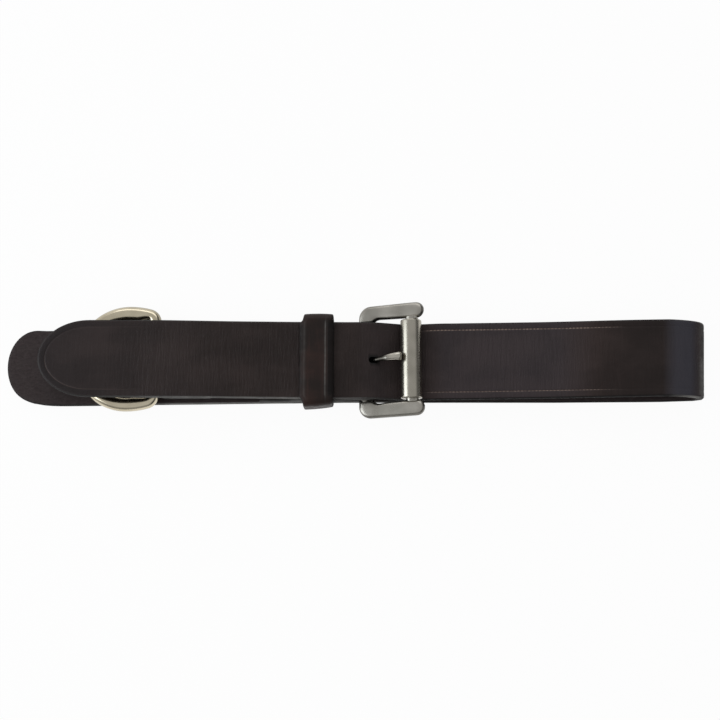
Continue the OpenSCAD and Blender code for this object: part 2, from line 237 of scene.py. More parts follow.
heel = joint_at["buckle_tilt"][[0, 2]]
roller_axis = joint_at["roller_spin"][[0, 2]]
dee_bar = joint_at["dee_swing"][[0, 2]]
roller_r = (roller_high[2] - roller_low[2]) / 2
half_w = strap_high[1]
end_x = strap_low[0]
fold_x = strap_high[0]
tip_x = end_x + TIP_SETBACK
bend_x = fold_x - BEND_L
turn_x = fold_x - TURN_L
over_dee_z = strap_high[2] - STRAP_T
over_heel_z = keeper_high[2] - KEEPER_T - KEEPER_GAP - STRAP_T
dip_z = roller_low[2] - REST_GAP - STRAP_T
on_keeper_z = STRAP_T + KEEPER_T + LAY_GAP
heel_fold_r = HEEL_R + RUNNING_FIT
dee_fold_r = DEE_WIRE_R + RUNNING_FIT
knee = np.array([heel[0] + KNEE_X, over_heel_z + STRAP_T + KNEE_RISE])


def heading(angle):
    return np.array([math.cos(math.radians(angle)), math.sin(math.radians(angle))])


def ease(low, high, x):
    u = np.clip((np.asarray(x, float) - low) / (high - low), 0, 1)
    return u * u * (3 - 2 * u)


def bell(x, spread):
    """1 at x = 0, falling smoothly to both sides."""
    return np.exp(-((x / spread) ** 2))


def wobble(x, y, seed):
    """Smooth noise between about -1 and 1, the same on each run."""
    return noise.noise(Vector((x, y, seed)))


def run_line(stations, x, up=1):
    """Points and normals at x of a smooth run through stations of x, height and slope.

    Up is -1 where the outer face looks down.
    """
    rows = np.array(stations, float)
    i = np.clip(np.searchsorted(rows[:, 0], x, side="right") - 1, 0, len(rows) - 2)
    a = rows[i].T
    b = rows[i + 1].T
    span = b[0] - a[0]
    u = (x - a[0]) / span
    heights = (2 * u**3 - 3 * u**2 + 1) * a[1] + (u**3 - 2 * u**2 + u) * span * a[2]
    heights += (3 * u**2 - 2 * u**3) * b[1] + (u**3 - u**2) * span * b[2]
    slopes = (6 * u**2 - 6 * u) * (a[1] - b[1]) / span
    slopes += (3 * u**2 - 4 * u + 1) * a[2] + (3 * u**2 - 2 * u) * b[2]
    return list(zip(x, heights)), list(zip(-up * slopes, np.full_like(slopes, up)))


def directions(steps):
    """Steps along a line as unit vectors."""
    return steps / np.linalg.norm(steps, axis=1)[:, None]


def lengths_run(points):
    """Length run from the first point of a line to each of its points."""
    return np.hstack([[0.0], np.cumsum(np.linalg.norm(np.diff(points, axis=0), axis=1))])


class Path:
    """A line in a side view, with the outward normal and the length run at each point."""

    def __init__(self, points, normals):
        self.points = np.array(points, float)
        self.normals = directions(np.array(normals, float))
        self.s = lengths_run(self.points)

    def at(self, s, lift):
        """Points that stand lift off the line, at lengths s."""
        base = [np.interp(s, self.s, axis) for axis in self.points.T]
        out = [np.interp(s, self.s, axis) for axis in self.normals.T]
        return np.array(base) + lift * np.array(out)


# Meshes
def new_mesh(name, points, faces):
    """A mesh from points in millimetres."""
    mesh = bpy.data.meshes.new(name)
    mesh.from_pydata((np.array(points) * MM).tolist(), [], faces)
    return mesh


def new_object(name, data):
    made = bpy.data.objects.new(name, data)
    bpy.context.scene.collection.objects.link(made)
    return made


def add_piece(name, points, faces, body, material, nodes, marks=None, flat_angle=None):
    """Makes a visible piece, seats it on its body and lets it stand in for its nodes."""
    mesh = new_mesh(name, points, faces)
    mesh.validate()
    mesh.polygons.foreach_set("use_smooth", [True] * len(mesh.polygons))
    if flat_angle:
        mesh.set_sharp_from_angle(angle=math.radians(flat_angle))
    for mark, values in (marks or {}).items():
        mesh.attributes.new(mark, "FLOAT", "POINT").data.foreach_set("value", values)
    mesh.materials.append(material)
    piece = new_object(name, mesh)
    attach(piece, body)
    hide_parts(*nodes)
    return piece


def drop_unused(points, faces, marks):
    """The points and marks that the faces use, with the faces renumbered to match."""
    used = np.unique(np.hstack(faces))
    renumber = {int(old): new for new, old in enumerate(used)}
    faces = [[renumber[v] for v in face] for face in faces]
    return points[used], faces, {name: values.reshape(-1)[used] for name, values in marks.items()}


def slab_faces(solid):
    """Faces of both sides of a slab's solid cells, and the walls where a solid cell ends."""
    rows, columns = solid.shape
    count = (rows + 1) * (columns + 1)
    ids = np.arange(count).reshape(rows + 1, columns + 1)
    around = np.pad(solid, 1)
    faces = []
    for i, j in np.argwhere(solid):
        corners = [int(v) for v in (ids[i, j], ids[i + 1, j], ids[i + 1, j + 1], ids[i, j + 1])]
        faces.append(corners)
        faces.append([v + count for v in corners[::-1]])
        beside = (around[i + 1, j], around[i + 2, j + 1], around[i + 1, j + 2], around[i, j + 1])
        for p, q, joined in zip(corners, corners[1:] + corners[:1], beside):
            if not joined:
                faces.append([q, p, p + count, q + count])
    return faces


def ring_faces(count, size, closed=False):
    """Faces that join rings of size points each; closed joins the last ring to the first."""
    faces = []
    for i in range(count if closed else count - 1):
        here = i * size
        there = (i + 1) % count * size
        for j in range(size):
            k = (j + 1) % size
            faces.append([here + j, here + k, there + k, there + j])
    return faces


def tube(rings):
    """Points and faces of a closed tube through rings of equal size, with flat caps."""
    size = len(rings[0])
    points = np.concatenate(rings)
    faces = ring_faces(len(rings), size)
    faces.append(list(range(size - 1, -1, -1)))
    faces.append([len(points) - size + j for j in range(size)])
    return points, faces


def join_shells(*shells):
    """Several shells of points and faces as one."""
    faces = []
    start = 0
    for points, shell_faces in shells:
        faces += [[start + i for i in face] for face in shell_faces]
        start += len(points)
    return np.concatenate([points for points, _ in shells]), faces


def oval(half_a, half_b, power, steps):
    """Points of a rounded box shape: a plain oval at power 2, squarer above that."""
    angles = np.linspace(0, 2 * math.pi, steps, endpoint=False)
    c = np.cos(angles)
    s = np.sin(angles)
    a = half_a * np.sign(c) * np.abs(c) ** (2 / power)
    b = half_b * np.sign(s) * np.abs(s) ** (2 / power)
    return a, b


def tilted(points, axis, along):
    """Points given along, across and above a tilted piece, as places in the model; along is its direction."""
    x = axis[0] + points[:, 0] * along[0] - points[:, 2] * along[1]
    z = axis[1] + points[:, 0] * along[1] + points[:, 2] * along[0]
    return np.stack([x, points[:, 1], z], axis=1)


# Materials
class Nodes:
    """A short way to write the node tree of a material or of the world."""

    def __init__(self, owner, shader="Principled BSDF"):
        owner.use_nodes = True
        self.owner = owner
        self.tree = owner.node_tree
        self.shader = self.tree.nodes[shader]

    def put(self, node, inputs):
        """Links or sets the inputs of a node."""
        for key, value in inputs.items():
            if isinstance(value, bpy.types.NodeSocket):
                self.tree.links.new(value, node.inputs[key])
            else:
                node.inputs[key].default_value = value

    def add(self, kind, inputs, **settings):
        node = self.tree.nodes.new("ShaderNode" + kind)
        for key, value in settings.items():
            setattr(node, key, value)
        self.put(node, inputs)
        return node

    def place(self, stretch):
        """Object coordinates in millimetres, stretched per axis."""
        coordinates = self.add("TexCoord", {}).outputs["Object"]
        scale = tuple(share / MM for share in stretch)
        return self.add("Mapping", {"Vector": coordinates, "Scale": scale}).outputs["Vector"]

    def noise(self, stretch, detail=3.0, roughness=0.55):
        """Cloudy noise with about as many features to a millimetre as stretch says per axis."""
        inputs = {"Vector": self.place(stretch), "Scale": 1.0, "Detail": detail, "Roughness": roughness}
        return self.add("TexNoise", inputs).outputs["Fac"]

    def wave(self, stretch, scale, direction, distortion=0.0):
        inputs = {"Vector": self.place(stretch), "Scale": scale, "Distortion": distortion}
        return self.add("TexWave", inputs, wave_type="BANDS", bands_direction=direction).outputs["Fac"]

    def ramp(self, value, low, high, to_low=0.0, to_high=1.0):
        """Value taken smoothly from the range low to high into to_low to to_high."""
        inputs = {"Value": value, 1: low, 2: high, 3: to_low, 4: to_high}
        return self.add("MapRange", inputs, interpolation_type="SMOOTHSTEP").outputs["Result"]

    def math(self, operation, a, b):
        return self.add("Math", {0: a, 1: b}, operation=operation).outputs["Value"]

    def mark(self, name):
        """A value stored on the mesh's points."""
        return self.add("Attribute", {}, attribute_name=name).outputs["Fac"]

    def mix(self, share, a, b, blend="MIX"):
        """Colours a and b mixed by share; the node's sockets for colours are told apart by number."""
        inputs = {0: share, 6: a, 7: b}
        return self.add("Mix", inputs, data_type="RGBA", blend_type=blend).outputs[2]

    def bumps(self, *layers):
        """A normal from layers of height, depth in millimetres and strength, each over the one before."""
        inputs = {}
        for height, depth, strength in layers:
            inputs.update({"Height": height, "Distance": depth * MM, "Strength": strength})
            inputs["Normal"] = self.add("Bump", inputs).outputs["Normal"]
        return inputs["Normal"]

    def finish(self, inputs):
        """Sets the shader's inputs and returns the material or the world."""
        self.put(self.shader, inputs)
        return self.owner


def rgb(r, g, b):
    """A linear colour from screen values of 0 to 255."""
    linear = []
    for value in (r, g, b):
        share = value / 255
        linear.append(share / 12.92 if share <= 0.04045 else ((share + 0.055) / 1.055) ** 2.4)
    return (*linear, 1.0)


# Colour of the painted cool sheen, a bluish reflection painted into the leather
PAINTED_SHEEN_COLOUR = rgb(60, 59, 67)
FLESH_DARK = rgb(44, 36, 36)
FLESH_LIGHT = rgb(57, 48, 48)
CREASE_DARK = rgb(58, 48, 45)
CREASE_LIGHT = rgb(96, 82, 77)
GLINT = rgb(158, 138, 128)
# Edge colours, dark and worn; through the edge and wear marks they also paint shade on the keeper's sides and
# highlights at the fold and on the keeper's ridges
DARK_EDGE_AND_PAINTED_SHADE = rgb(24, 22, 22)
WORN_EDGE_AND_PAINTED_HIGHLIGHT = rgb(150, 148, 145)
# Colour of the painted shade on metal
PAINTED_SHADE_TINT = (0.025, 0.022, 0.018, 1)
WHITE = (1, 1, 1, 1)


def leather(name, dark, light, toned_with_painted_light=False):
    """Finished leather: pores, fine wrinkles across the strap, creased lines and burnished edges, whose marks
    also paint shade and highlights.

    Toned leather also follows its marks for tone with painted shading in it, a painted cool sheen, painted
    glints in the creases and wrinkles.
    """
    n = Nodes(bpy.data.materials.new(name))
    blotches = n.noise((0.03, 0.05, 0.05), 4.0)
    streaks = n.noise((0.55, 0.05, 0.2), 4.0, 0.6)
    colour = n.mix(n.ramp(blotches, 0.35, 0.68), dark, light)
    colour = n.mix(n.ramp(streaks, 0.52, 0.75, 0.0, 0.4), colour, light)
    if toned_with_painted_light:
        # Tone along the strap with painted shading in it, and a painted cool sheen
        colour = n.mix(1.0, colour, n.mark("tone_and_painted_shading"), "MULTIPLY")
        colour = n.mix(n.mark("painted_cool_sheen"), colour, PAINTED_SHEEN_COLOUR)
    flesh = n.mark("flesh")
    fibres = n.ramp(n.noise((0.5, 1.2, 1.2), 5.0, 0.7), 0.3, 0.7)
    colour = n.mix(flesh, colour, n.mix(fibres, FLESH_DARK, FLESH_LIGHT))
    tint = n.mix(n.noise((0.08, 0.2, 0.2)), CREASE_DARK, CREASE_LIGHT)
    colour = n.mix(n.ramp(n.mark("crease"), 0.25, 1.0, 0.0, 0.75), colour, tint)
    if toned_with_painted_light:
        dots = n.ramp(n.wave((1.0, 0.0, 0.0), math.pi / (10 * GLINT_PITCH), "X"), 0.2, 0.9, 0.35, 1.0)
        bright = n.math("MULTIPLY", dots, n.ramp(n.mark("glints"), 0.3, 0.85, 0.0, 0.9))
        bright = n.math("MULTIPLY", bright, n.ramp(n.noise((0.22, 0.3, 0.3)), 0.35, 0.62, 0.45, 1.0))
        colour = n.mix(bright, colour, GLINT)
    # Edge colour; the edge and wear marks also carry painted shade and painted highlights here
    edge = n.mark("edge")
    patches = n.ramp(n.noise((0.12, 0.3, 0.3), 4.0), 0.3, 0.7, 0.55, 1.0)
    wear_and_painted_highlight = n.math("MULTIPLY", patches, n.mark("wear_and_painted_highlight"))
    colour = n.mix(edge, colour, n.mix(wear_and_painted_highlight, DARK_EDGE_AND_PAINTED_SHADE, WORN_EDGE_AND_PAINTED_HIGHLIGHT))
    roughness = n.ramp(n.noise((0.4, 0.4, 0.4), 4.0), 0.3, 0.7, 0.4, 0.56)
    for mark, added in ((flesh, 0.2), (edge, 0.35)):
        roughness = n.math("ADD", roughness, n.math("MULTIPLY", mark, added))
    pores_inputs = {"Vector": n.place((2.6, 2.6, 2.6)), "Scale": 1.0}
    pores = n.add("TexVoronoi", pores_inputs, feature="SMOOTH_F1").outputs["Distance"]
    layers = [(pores, 0.05, 0.35), (n.noise((0.8, 0.07, 0.3), 5.0, 0.65), 0.16, 0.5)]
    if toned_with_painted_light:
        ridges = n.ramp(n.noise((0.85, 0.1, 0.3), 4.0, 0.7), 0.35, 0.65)
        layers.append((n.math("MULTIPLY", ridges, n.mark("wrinkled")), 0.12, 0.9))
    surface = {"Roughness": roughness, "Normal": n.bumps(*layers), "Specular IOR Level": 0.22}
    return n.finish({"Base Color": colour, **surface})


def metal(name, dark, light, roughness, grain):
    """Plated metal: cloudy tone, fine brushed grain, small dents and painted shade where it is marked."""
    n = Nodes(bpy.data.materials.new(name))
    cloud = n.noise((0.12, 0.12, 0.12), 1.0)
    colour = n.mix(n.ramp(cloud, 0.3, 0.7), dark, light)
    patches = n.ramp(n.noise((0.3, 0.3, 0.3), 1.0), 0.3, 0.7, 0.9, 1.0)
    colour = n.mix(n.math("MULTIPLY", n.mark("painted_shade"), patches), colour, PAINTED_SHADE_TINT)
    rough = n.ramp(n.noise((0.2, 0.2, 0.2), 1.0), 0.25, 0.75, roughness * 0.9, roughness * 1.1)
    brushed = n.noise((1.5, 0.05, 1.5), 2.0)
    dents = n.noise((0.3, 0.3, 0.3), 2.0)
    normal = n.bumps((brushed, 0.004, grain), (dents, 0.03, grain))
    return n.finish({"Base Color": colour, "Roughness": rough, "Metallic": 1.0, "Normal": normal})


def thread_material(name):
    """Waxed twisted thread."""
    n = Nodes(bpy.data.materials.new(name))
    twist = n.wave((1.0, 1.0, 1.0), 1.4, "DIAGONAL", 0.6)
    colour = n.mix(twist, rgb(22, 19, 18), rgb(52, 46, 43))
    return n.finish({"Base Color": colour, "Roughness": 0.6, "Normal": n.bumps((twist, 0.12, 0.8))})


STRAP_LEATHER = leather("strap_leather", rgb(33, 24, 22), rgb(46, 36, 34), toned_with_painted_light=True)
CHAPE_LEATHER = leather("chape_leather", rgb(34, 26, 23), rgb(48, 37, 33))
KEEPER_LEATHER = leather("keeper_leather", rgb(29, 20, 17), rgb(54, 35, 30))
SATIN_NICKEL = metal("satin_nickel", (0.34, 0.325, 0.29, 1), (0.42, 0.4, 0.36, 1), 0.3, 0.12)
ROLLER_NICKEL = metal("roller_nickel", (0.36, 0.34, 0.29, 1), (0.43, 0.405, 0.35, 1), 0.27, 0.12)
POLISHED_NICKEL = metal("polished_nickel", (0.6, 0.535, 0.4, 1), (0.71, 0.64, 0.49, 1), 0.17, 0.08)
TONGUE_NICKEL = metal("tongue_nickel", (0.46, 0.44, 0.39, 1), (0.54, 0.51, 0.45, 1), 0.13, 0.1)
THREAD = thread_material("waxed_thread")


# Strap
UPPER_RUN = [
    (tip_x, over_dee_z, 0),
    (dee_bar[0], over_dee_z, 0),
    (keeper_low[0], over_heel_z, 0),
    (heel[0], over_heel_z, 0),
    (roller_axis[0], dip_z, 0),
    (roller_axis[0] + RISE_L, dip_z + RISE_H, 0.015),
    (bend_x - SWELL_L, BEND_H - STRAP_T - SWELL_H, 0.02),
    (bend_x, BEND_H - STRAP_T, 0),
]

# Sideways drift of the strap as it lies: place along the run, drift in y
UPPER_DRIFT = [(tip_x, 0.8), (heel[0] - 10, 0.0), (50, 0.2), (bend_x, 1.4)]
LOWER_DRIFT = [(end_x, -0.4), (end_x + 17, -1.9), (heel[0] - 10, 0.0), (100, 0.0), (bend_x, 0.4)]


def lower_drift(x):
    return np.interp(x, *np.array(LOWER_DRIFT).T)


def strap_path():
    """The inner face of the strap, from the upper end round the bend to the lower end."""
    points, normals = run_line(UPPER_RUN, np.arange(tip_x, bend_x, PATH_STEP))
    fall = np.array([BEND_L - STRAP_T, BEND_H - TURN_H - STRAP_T])
    turn = np.array([TURN_L - STRAP_T, TURN_H - STRAP_T])
    quarters = [(bend_x, fall, np.linspace(90, 0, 61)), (turn_x, turn, np.linspace(0, -90, 31)[1:])]
    for centre_x, radii, angles in quarters:
        for angle in angles:
            points.append(np.array([centre_x, TURN_H]) + radii * heading(angle))
            normals.append(heading(angle) / radii)
    for x in np.linspace(turn_x, end_x, 400)[1:]:
        points.append((x, STRAP_T))
        normals.append((0, -1))
    return Path(points, normals)


STRAP_PATH = strap_path()
UPPER_L = STRAP_PATH.s[np.argmax(STRAP_PATH.points[:, 0] >= bend_x)]
STRAP_L = STRAP_PATH.s[-1]


def on_upper(x):
    """Length run along the strap at x on the outer face of the upper run and of the falling bend."""
    count = np.argmax(STRAP_PATH.points[:, 0]) + 1
    on_inner = min(x, bend_x) + max(x - bend_x, 0) * (BEND_L - STRAP_T) / BEND_L
    return np.interp(on_inner, STRAP_PATH.points[:count, 0], STRAP_PATH.s[:count])


def on_lower(x):
    """Length run along the strap at x on the lower run."""
    return STRAP_L - (x - end_x)


def along_strap(rows, s):
    """Values at lengths s from rows of x and value on the upper and the lower run.

    Beyond the first and the last row the value stays the same.
    """
    upper, lower = rows
    placed = [(on_upper(x), value) for x, value in upper]
    placed += [(on_lower(x), value) for x, value in lower[::-1]]
    return np.interp(s, *np.array(placed).T)


buckle_sewn = (buckle_chape_low[0] + PARED_L, keeper_low[0] - STEP_L)
dee_sewn = (dee_bar[0] + CLOSING_L, dee_chape_high[0] - PARED_L)

# Each sewn stretch, the place of its cross row and the half width of its chape
SEWN = [(buckle_sewn, buckle_sewn[0], half_w), (dee_sewn, dee_sewn[1], dee_chape_high[1])]

# Along each run: how deep the crease is pressed and how far it shows, how light the edge is worn, with a
# painted highlight at the fold, how light the leather is, with painted shade in it, how wrinkled it is, and
# where painted glints and a painted cool sheen lie
CREASE_PRESSED = (
    [(tip_x, 0.5), (-115, 0.4), (-95, 0.15), (25, 0.15), (42, 1.0), (110, 1.0), (135, 0.4), (bend_x, 0.3)],
    [],
)
CREASE_SHOWS = (
    [(tip_x, 0.9), (-118, 0.6), (-90, 0.25), (-20, 0.15), (30, 0.2), (40, 0.8), (110, 0.9), (135, 0.3),
     (bend_x, 0.25)],
    [(end_x, 0.3), (turn_x, 0.2)],
)
GLINTS = (
    [(30, 0.0), (38, 1.0), (112, 1.0), (130, 0.5), (140, 0.0)],
    [],
)
EDGE_WEAR_AND_FOLD_HIGHLIGHT = (
    [(tip_x, 0.07), (-125, 0.12), (-95, 0.6), (-25, 0.7), (0, 0.35), (30, 0.0), (bend_x, 0.0),
     (fold_x - 5, 0.9)],
    [(end_x, 0.0), (-130, 0.1), (-110, 0.8), (-30, 1.0), (0, 0.6), (30, 0.0), (turn_x, 0.0)],
)
# Tone, with painted shading: a painted shadow right of the roller, painted shade before the bend and a
# painted highlight at the fold
TONE_AND_PAINTED_SHADING = (
    [(-100, 1.05), (-60, 1.03), (10, 1.05), (24, 1.1), (31, 0.85), (38, 1.6), (90, 1.5),
     (112, 1.35), (126, 1.1), (144, 0.8), (bend_x, 0.9), (fold_x - 3, 1.4)],
    [(end_x, 1.15), (-100, 1.05), (turn_x, 0.9)],
)
WRINKLES = (
    [(tip_x, 0.1), (-125, 0.15), (-100, 0.8), (-30, 1.0), (20, 0.7), (40, 1.0), (115, 0.9), (135, 0.3),
     (bend_x, 0.5)],
    [(end_x, 0.1), (turn_x, 0.3)],
)
# Painted cool sheen, strongest on the bend
PAINTED_SHEEN = (
    [(tip_x, 0.1), (-60, 0.0), (0, 0.0), (10, 0.1), (34, 0.1), (45, 0.3), (100, 0.3), (118, 0.0),
     (bend_x - 3, 0.0), (bend_x + 4, 0.75), (fold_x - 8, 0.9), (fold_x - 3, 0.1)],
    [(turn_x, 0.0)],
)


def strap_stations():
    """Lengths at which the strap has a cross section, closer together at the cross rows of stitches."""
    first = TIP_L
    last = STRAP_L - max(END_L, half_w)
    stations = [np.linspace(first, last, int((last - first) / STATION_STEP))]
    near = np.arange(-FINE_REACH, FINE_REACH + FINE_STEP / 2, FINE_STEP)
    stations += [on_lower(cross_x) + near for _, cross_x, _ in SEWN]
    return np.unique(np.hstack(stations))


def strap_columns():
    """Outline points, the middle points behind them and their numbers, once round the flat strap."""
    stations = strap_stations()
    count = len(stations)
    first = stations[0]
    last = stations[-1]
    straight_l = STRAP_L - END_L - last
    upper_side = [(s, half_w, s, i) for i, s in enumerate(stations)]
    lower_side = [(s, -half_w, s, i) for s, _, _, i in upper_side[::-1]]
    end = []
    tip = []
    for k in range(1, ARC_STEPS):
        along, across = heading(90 - 180 * k / ARC_STEPS)
        end.append((last + (END_L * along + straight_l), half_w * across, last, count - 1))
        tip_middle = first - (TIP_L - half_w) * along
        tip.append((first - TIP_L * along, -half_w * across, tip_middle, count + min(k, ARC_STEPS - k)))
    rows = np.array(upper_side + end + lower_side + tip)
    middle = np.column_stack([rows[:, 2], np.zeros(len(rows))])
    return rows[:, :2], middle, rows[:, 3].astype(int)


def strap_profile():
    """Inset from the edge, height share and face of each point from the outer middle to the inner one."""
    rows = [(d, 1.0, "outer") for d in (half_w, 15.5, 12.0, 9.0, 6.6, 6.2, 5.9, 5.6, 5.2, 4.5)]
    spread = np.array([2.2, 1.35, 0.75, 0.0, -0.75, -1.35, -2.2]) * CREASE_HALF_W
    rows += [(CREASE_INSET + d, 1.0, "outer") for d in spread]
    rows.append((1.9, 1.0, "outer"))
    corner = []
    for angle in (90, 68, 46, 24, 0):
        along, up = heading(angle)
        corner.append((EDGE_ROUND_IN * (1 - along), EDGE_ROUND_DOWN / STRAP_T * (1 - up)))
    rows += [(inset, 1 - fall, "edge") for inset, fall in corner]
    rows.append((-EDGE_BULGE, 0.5, "edge"))
    rows += [(inset, fall, "edge") for inset, fall in corner[::-1]]
    rows += [(d, 0.0, "inner") for d in (2.4, 5.0, 9.5, 14.5, half_w)]
    return rows


def groove_depth(s, t, inset):
    """Depth of the creases, and of the stitch grooves on the lower run's outer face."""
    crease = bell(inset - CREASE_INSET, CREASE_HALF_W)
    depth = CREASE_DEPTH * crease * along_strap(CREASE_PRESSED, s)
    for (low, high), cross_x, half in SEWN:
        row_t = half - STITCH_INSET
        inside = ease(on_lower(high) - GROOVE_FADE, on_lower(high), s)
        inside *= 1 - ease(on_lower(low), on_lower(low) + GROOVE_FADE, s)
        row = bell(np.abs(t) - row_t, CREASE_HALF_W) * inside
        cross = bell(s - on_lower(cross_x), CROSS_GROOVE_HALF_W) * (np.abs(t) < row_t)
        depth = np.maximum(depth, STITCH_GROOVE_DEPTH * np.maximum(row, cross))
    return depth, crease


def strap_line(outline, toward, reach, inset, share, face):
    """Length run, place across, height and marks of one line of points round the flat strap.

    Near the edge the line keeps its inset; further in it is stretched towards the middle.
    """
    stretched = HELD_INSET + (inset - HELD_INSET) * (reach - HELD_INSET) / (half_w - HELD_INSET)
    depth_in = np.where(inset <= HELD_INSET, inset, stretched)
    s, t = (outline + toward * depth_in[:, None]).T
    depth, crease = groove_depth(s, t, inset) if face == "outer" else (np.zeros_like(s), 0.0)
    at_tip = 1 - ease(TIP_L, TIP_L + TIP_FADE, s)
    shows = along_strap(CREASE_SHOWS, s) * (1 - TIP_CREASE_LOSS * at_tip * ease(-6, 8, t))
    rim = RIM_SHADE if share == 1 and inset < CREASE_INSET - CREASE_HALF_W else 0.0
    marks = {
        "edge": np.full_like(s, face == "edge" and 0.02 < share < 0.98),
        "flesh": np.full_like(s, share < 0.02),
        "crease": crease * shows,
        "glints": crease * along_strap(GLINTS, s) * np.where(t < 0, NEAR_GLINTS, 1.0),
        "tone_and_painted_shading": along_strap(TONE_AND_PAINTED_SHADING, s) * (1 - rim * at_tip),
        "wear_and_painted_highlight": along_strap(EDGE_WEAR_AND_FOLD_HIGHLIGHT, s) * (1 - FAR_WEAR_LOSS * ease(-6, 6, t)),
        "wrinkled": along_strap(WRINKLES, s),
        "painted_cool_sheen": along_strap(PAINTED_SHEEN, s),
    }
    return s, t, STRAP_T * share - depth, marks


def make_uneven(s, t, h):
    """Changes heights and places across a little, as in leather that has been worn."""
    for spot in np.ndindex(s.shape):
        swell = 0.0
        for height, along, across, seed in UNEVEN_FACES:
            swell += height * wobble(s[spot] / along, t[spot] / across, seed)
        h[spot] += swell * (1.0 if h[spot] > STRAP_T / 2 else INNER_UNEVEN)
        t[spot] *= 1 + UNEVEN_WIDTH * wobble(s[spot] / UNEVEN_WIDTH_L, 0.0, UNEVEN_WIDTH_SEED)


def strap_faces(middle_index, size):
    """Faces between neighbouring columns, which share their end points where they share a middle."""
    columns = len(middle_index)
    ids = np.arange(columns * size).reshape(columns, size)
    first_of = {}
    for i, middle in enumerate(middle_index):
        ids[i, [0, -1]] = ids[first_of.setdefault(middle, i), [0, -1]]
    faces = []
    for i, k in np.ndindex(columns, size - 1):
        j = (i + 1) % columns
        corners = [int(v) for v in (ids[i, k], ids[i, k + 1], ids[j, k + 1], ids[j, k])]
        face = list(dict.fromkeys(corners))
        if len(face) > 2:
            faces.append(face)
    return faces


def build_strap():
    """The strap, laid along its path from the flat, with the tongue's hole cut."""
    outline, middle, middle_index = strap_columns()
    reach = np.linalg.norm(middle - outline, axis=1)
    toward = directions(middle - outline)
    profile = strap_profile()
    lines = [strap_line(outline, toward, reach, *row) for row in profile]
    s, t, h = (np.column_stack([line[i] for line in lines]) for i in range(3))
    marks = {name: np.column_stack([line[3][name] for line in lines]) for name in lines[0][3]}
    make_uneven(s, t, h)
    x, z = STRAP_PATH.at(s, h)
    on_face = np.array([face == "outer" for _, _, face in profile])
    # Painted highlight on the outer face just before the fold
    painted_fold_highlight = ease(fold_x - FOLD_HIGHLIGHT_W, fold_x - FOLD_HIGHLIGHT_FULL_W, x) * (z > TURN_H) * on_face
    marks["edge"] = np.maximum(marks["edge"], painted_fold_highlight)
    at_fold = ease(on_upper(SKEW_FROM_X), UPPER_L, s)
    at_fold *= 1 - ease(on_lower(turn_x), on_lower(SKEW_FROM_X), s)
    x += FOLD_SKEW * t * at_fold
    y = t + along_strap((UPPER_DRIFT, LOWER_DRIFT), s)
    corner = bell(s - on_lower(end_x + END_TRIM_AT), END_TRIM_L) * np.minimum(t / half_w, 0) ** 2
    y += END_CORNER_TRIM * corner
    points = np.stack([x, y, np.maximum(z, 0.0)], axis=2).reshape(-1, 3)
    points, faces, marks = drop_unused(points, strap_faces(middle_index, len(profile)), marks)
    strap = add_piece("girth_strap_leather", points, faces, "strap",
                      STRAP_LEATHER, ["girth_strap"], marks)
    cut_tongue_hole(strap)


def cut_tongue_hole(strap):
    """Cuts the tongue's oblong hole, with walls that follow the tongue's swing."""
    rest = math.atan2(knee[1] - heel[1], knee[0] - heel[0])
    raised = rest + math.radians(TONGUE_SWING)
    rings = []
    for z in (over_heel_z - HOLE_BELOW, over_heel_z + STRAP_T + HOLE_ABOVE):
        rise = z - heel[1]
        left = heel[0] + rise / math.tan(raised) - SHANK_R / math.sin(raised)
        right = heel[0] + rise / math.tan(rest) + SHANK_R / math.sin(rest)
        ring = []
        for angle in np.linspace(0, 360, 48, endpoint=False):
            turn = heading(angle)
            centre = right - HOLE_R if turn[0] > 0 else left + HOLE_R
            ring.append((centre + HOLE_R * turn[0], HOLE_R * turn[1], z))
        rings.append(ring)
    cutter = new_object("hole_cutter", new_mesh("hole_cutter", *tube(rings)))
    cut = strap.modifiers.new("tongue_hole", "BOOLEAN")
    cut.operation = "DIFFERENCE"
    cut.solver = "EXACT"
    cut.object = cutter
    shaped = bpy.data.meshes.new_from_object(strap.evaluated_get(bpy.context.evaluated_depsgraph_get()))
    strap.modifiers.clear()
    strap.data = shaped
    bpy.data.objects.remove(cutter)
    shaped.set_sharp_from_angle(angle=math.radians(SHARP_ANGLE))


# Keeper
def rounded_loop(half_y, low, high, r, straight_steps, corner_steps):
    """Points and outward normals round a box with rounded corners, seen along the strap."""
    points = []
    normals = []
    corners = [(half_y - r, high - r), (r - half_y, high - r), (r - half_y, low + r), (half_y - r, low + r)]
    for i, corner in enumerate(corners):
        turns = [heading(90 * i + 90 * k / corner_steps) for k in range(corner_steps + 1)]
        here = corner + r * turns[-1]
        there = corners[(i + 1) % 4] + r * turns[-1]
        points += [corner + r * turn for turn in turns]
        points += [here + (there - here) * k / straight_steps for k in range(1, straight_steps)]
        normals += turns + [turns[-1]] * (straight_steps - 1)
    return points, normals


def keeper_section():
    """Places across the keeper's width from -1 to 1, height share and edge share, once round."""
    outer_at = (-0.9, -0.8, -0.72, -0.66, -0.55, -0.3, 0.0, 0.25, 0.42, 0.5, 0.57, 0.68, 0.78, 0.9)
    outer = [(q, 1.0, 0.0) for q in outer_at]
    right = [(0.955, 0.93, 0.5), (0.985, 0.78, 1.0), (1.0, 0.5, 1.0), (0.985, 0.2, 1.0), (0.95, 0.03, 0.5)]
    inner = [(q, 0.0, 0.0) for q in (0.85, 0.4, 0.0, -0.4, -0.85)]
    left = [(-q, share, edge) for q, share, edge in right[::-1]]
    return outer + right + inner + left


def keeper_fall(q):
    """How far the keeper's outer face falls towards its skived sides."""
    return KEEPER_LEFT_FALL * ease(-0.68, -1.25, q) + KEEPER_RIGHT_FALL * ease(0.48, 1.5, q)


